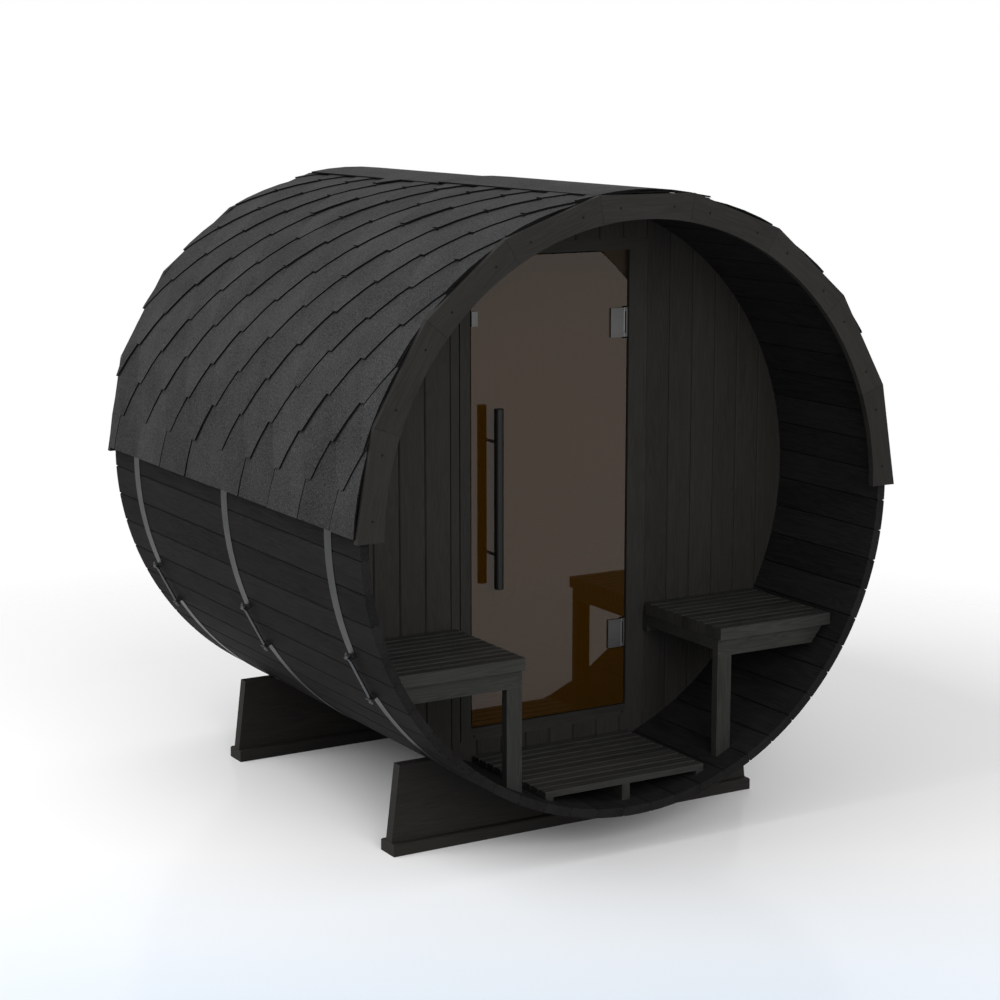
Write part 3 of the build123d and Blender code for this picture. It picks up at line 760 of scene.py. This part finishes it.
class SAUNA_OT_bent_deck(bpy.types.Operator):
    """Bend one plywood deck round the top of the barrel, in place of the frame's flat panels."""

    bl_idname = "sauna.bent_deck"
    bl_label = "Bent deck"

    def execute(self, context):
        maker = bmesh.new()
        corners = (
            (DECK_INNER_RADIUS, BARREL_FRONT), (DECK_RADIUS, BARREL_FRONT),
            (DECK_RADIUS, BARREL_REAR), (DECK_INNER_RADIUS, BARREL_REAR))
        edge_face = maker.faces.new(
            [maker.verts.new((0, y, AXIS_HEIGHT + radius)) for radius, y in corners])
        centre = (0, 0, AXIS_HEIGHT)
        to_eave = Matrix.Rotation(-EAVE_ANGLE, 3, "Y")
        bmesh.ops.rotate(maker, verts=edge_face.verts, cent=centre, matrix=to_eave)
        bmesh.ops.spin(
            maker, geom=[edge_face], cent=centre, axis=(0, 1, 0), angle=2 * EAVE_ANGLE,
            steps=round(2 * EAVE_ANGLE / CREASE_ANGLE))
        piece = new_piece("bent_roof_deck", maker, ["roof_plywood"])
        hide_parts("roof_deck_left", "roof_deck_top", "roof_deck_right")
        return {"FINISHED"}


class SAUNA_OT_roof_shingles(bpy.types.Operator):
    """Lay the hexagonal shingles over both sides of the roof."""

    bl_idname = "sauna.roof_shingles"
    bl_label = "Roof shingles"

    def execute(self, context):
        for name, side, seed in (("shingles_right", 1, 11), ("shingles_left", -1, 12)):
            maker = shingled_side(settings().shingles, seed)
            bmesh.ops.scale(maker, verts=maker.verts, vec=(side, 1, 1))
            new_piece(name, maker, ["shingle_granules", "cut_bitumen"])
        return {"FINISHED"}


class SAUNA_OT_ridge_strip(bpy.types.Operator):
    """Lay the overlapping ridge strips along the top of the roof."""

    bl_idname = "sauna.ridge_strip"
    bl_label = "Ridge strip"

    def execute(self, context):
        sizes = settings().shingles
        maker = start_shingles()
        chance = random.Random(RIDGE_SEED)
        half = sizes.ridge_half_width
        long = RIDGE_STRIP_LENGTH
        outline = [(half, 0), (half, long), (-half, long), (-half, 0)]
        front = BARREL_FRONT - sizes.front_cover
        count = ceil((BARREL_REAR - front) / long)
        lap = (count * long - (BARREL_REAR - front)) / (count - 1)
        tilt = Matrix.Rotation(sizes.thickness / long, 3, "X")
        for number in range(count):
            verts = shingle(maker, outline, sizes.thickness, chance.random())
            bmesh.ops.rotate(maker, verts=verts, cent=(0, 0, 0), matrix=tilt)
            bmesh.ops.translate(maker, verts=verts, vec=(0, front + number * (long - lap), 0))
        for side in (-1, 1):
            fold_over_roof(maker, side)
        raise_to_roof(maker, RIDGE_LIFT * sizes.thickness)
        new_piece("ridge_strip", maker, ["shingle_granules", "cut_bitumen"])
        return {"FINISHED"}


class SAUNA_OT_screws(bpy.types.Operator):
    """Set two screws in each fascia board and one at each end of the threshold."""

    bl_idname = "sauna.screws"
    bl_label = "Screws"

    def execute(self, context):
        sizes = settings().screws
        ends = (
            ("front_fascia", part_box("front_fascia")[0].y, -1),
            ("rear_fascia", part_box("rear_fascia")[1].y, 1))
        for node_name, face_y, facing in ends:
            maker = bmesh.new()
            for number in range(-FACETS_PER_SIDE, FACETS_PER_SIDE + 1):
                turn = Matrix.Rotation(number * FACET_ANGLE, 3, "Y")
                for side in (-1, 1):
                    along = side * sizes.fascia_spread * FACET_WIDTH
                    middle = (FACET_APOTHEM + sqrt(FASCIA_INNER_RADIUS ** 2 - along ** 2)) / 2
                    place = turn @ Vector((along, 0, middle)) + Vector((0, face_y, AXIS_HEIGHT))
                    screw_head(maker, sizes, place, facing)
            new_piece(f"{node_name}_screws", maker, ["blackened_screw_steel"])
        low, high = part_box("door_threshold")
        maker = bmesh.new()
        for x in (low.x + THRESHOLD_SCREW_INSET, high.x - THRESHOLD_SCREW_INSET):
            screw_head(maker, sizes, Vector((x, low.y, low.z + THRESHOLD_SCREW_RISE)), -1)
        new_piece("threshold_screws", maker, ["blackened_screw_steel"])
        return {"FINISHED"}


def seen_by_eye(tree):
    """1 for a ray that the eye follows, straight, off metal or through glass, and 0 for others."""
    path = add_node(tree, "LightPath")
    rays = ("Is Camera Ray", "Is Glossy Ray", "Is Transmission Ray")
    seen = weighted_sum(tree, *[(path.outputs[ray], 1.0) for ray in rays])
    return add_node(tree, "Math", {0: seen, 1: 1.0}, operation="MINIMUM")


def studio_floor(colours, studio):
    """Matt floor with a trace of polish, pale, bluer in front, fading into the white surround."""
    material, tree = start_material("studio_floor")
    position = add_node(tree, "TexCoord").outputs["Object"]
    view_way = (-sin(studio.camera_turn), cos(studio.camera_turn), 0)
    forward = add_node(tree, "VectorMath", {0: position, 1: view_way}, operation="DOT_PRODUCT")
    front = add_node(tree, "MapRange", {
        "Value": forward.outputs["Value"],
        "From Min": -studio.blue_start, "From Max": -studio.blue_end})
    shades = {0: front, 6: scaled_colour(colours.floor), 7: scaled_colour(colours.floor_front)}
    colour = add_node(tree, "Mix", shades, data_type="RGBA").outputs[2]
    bounce = add_node(tree, "MapRange", {"Value": seen_by_eye(tree), "To Min": studio.bounce})
    dimmed = add_node(tree, "VectorMath", {0: colour, "Scale": bounce}, operation="SCALE")
    matt = add_node(tree, "BsdfDiffuse", {"Color": dimmed})
    grit = pattern(tree, position, (8, 8, 8), Detail=2.0)
    sheen = add_node(tree, "MapRange", {"Value": grit, "To Min": 0.1, "To Max": 0.2})
    polish = add_node(tree, "BsdfGlossy", {"Color": (1, 1, 1, 1), "Roughness": sheen})
    solid = add_node(tree, "MixShader", {0: studio.polish, 1: matt, 2: polish})
    distance = add_node(tree, "VectorMath", {0: position}, operation="LENGTH").outputs["Value"]
    fade = add_node(tree, "MapRange", {
        "Value": distance, "From Min": studio.floor_solid,
        "From Max": studio.floor_radius - studio.floor_edge})
    clear = add_node(tree, "BsdfTransparent")
    return close_material(material, add_node(tree, "MixShader", {0: fade, 1: solid, 2: clear}))


def surround_light(studio):
    """Even white light from all round, and a white background for the eye, metal and glass."""
    world = bpy.data.worlds.new("studio_surround")
    world.use_nodes = True
    tree = world.node_tree
    tree.nodes.clear()
    white = (1, 1, 1, 1)
    lighting = add_node(tree, "Background", {"Color": white, "Strength": studio.surround})
    background = add_node(tree, "Background", {"Color": white, "Strength": 1.0})
    both = add_node(tree, "MixShader", {0: seen_by_eye(tree), 1: lighting, 2: background})
    add_node(tree, "OutputWorld", {"Surface": both})
    bpy.context.scene.world = world


def soft_light(name, place, size, power):
    """A large square area light that points at the barrel's middle."""
    lamp = bpy.data.lights.new(name, "AREA")
    lamp.shape = "SQUARE"
    lamp.size = size
    lamp.energy = power
    light = bpy.data.objects.new(name, lamp)
    light.location = place
    way = Vector((0, 0, AXIS_HEIGHT)) - Vector(place)
    light.rotation_euler = way.to_track_quat("-Z", "Y").to_euler()
    bpy.context.scene.collection.objects.link(light)


class SAUNA_OT_studio(bpy.types.Operator):
    """Set up the floor, the surround, two soft lights and the camera."""

    bl_idname = "sauna.studio"
    bl_label = "Studio"

    def execute(self, context):
        studio = settings().studio
        scene = context.scene
        maker = bmesh.new()
        bmesh.ops.create_circle(maker, cap_ends=True, segments=96, radius=studio.floor_radius)
        mesh = bpy.data.meshes.new("studio_floor")
        maker.to_mesh(mesh)
        maker.free()
        mesh.materials.append(studio_floor(settings().colours, studio))
        floor = bpy.data.objects.new("studio_floor", mesh)
        scene.collection.objects.link(floor)

        surround_light(studio)
        soft_light("key_light", place=(-1.6, -7.8, 3.6), size=4.0, power=studio.key_power)
        soft_light("top_light", place=(-5.0, 0.5, 5.6), size=4.5, power=studio.top_power)

        camera_data = bpy.data.cameras.new("photo_camera")
        camera_data.lens = studio.lens
        camera_data.sensor_width = 36.0
        camera = bpy.data.objects.new("photo_camera", camera_data)
        camera.location = studio.camera_place
        camera.rotation_euler = (studio.camera_tilt, 0.0, studio.camera_turn)
        scene.collection.objects.link(camera)
        scene.camera = camera
        scene.view_settings.view_transform = "Standard"
        return {"FINISHED"}


class SAUNA_PT_panel(bpy.types.Panel):
    """Sidebar panel with the sauna's settings and steps."""

    bl_label = "Barrel sauna"
    bl_idname = "SAUNA_PT_panel"
    bl_space_type = "VIEW_3D"
    bl_region_type = "UI"
    bl_category = "Sauna"

    def draw(self, context):
        held = settings()
        for group in (held.shingles, held.screws, held.colours, held.studio):
            box = self.layout.box()
            for name in group.__annotations__:
                box.prop(group, name)
        for operator in OPERATORS:
            self.layout.operator(operator.bl_idname)


GROUPS = (ShingleSizes, ScrewSizes, FinishColours, StudioSettings, SaunaSettings)
OPERATORS = (
    SAUNA_OT_wood_finishes, SAUNA_OT_roof_finishes, SAUNA_OT_metal_finishes,
    SAUNA_OT_door_glass, SAUNA_OT_bent_deck, SAUNA_OT_roof_shingles, SAUNA_OT_ridge_strip,
    SAUNA_OT_screws, SAUNA_OT_studio)
CLASSES = (*GROUPS, *OPERATORS, SAUNA_PT_panel)


def register():
    """Register the classes and hang the settings on the scene."""
    for item in CLASSES:
        bpy.utils.register_class(item)
    bpy.types.Scene.sauna = PointerProperty(type=SaunaSettings)


def unregister():
    """Take the settings and the classes away again."""
    del bpy.types.Scene.sauna
    for item in reversed(CLASSES):
        bpy.utils.unregister_class(item)


def main():
    register()
    bpy.ops.sauna.wood_finishes()
    bpy.ops.sauna.roof_finishes()
    bpy.ops.sauna.metal_finishes()
    bpy.ops.sauna.door_glass()
    bpy.ops.sauna.bent_deck()
    bpy.ops.sauna.roof_shingles()
    bpy.ops.sauna.ridge_strip()
    bpy.ops.sauna.screws()
    bpy.ops.sauna.studio()


if __name__ == "__main__":
    main()
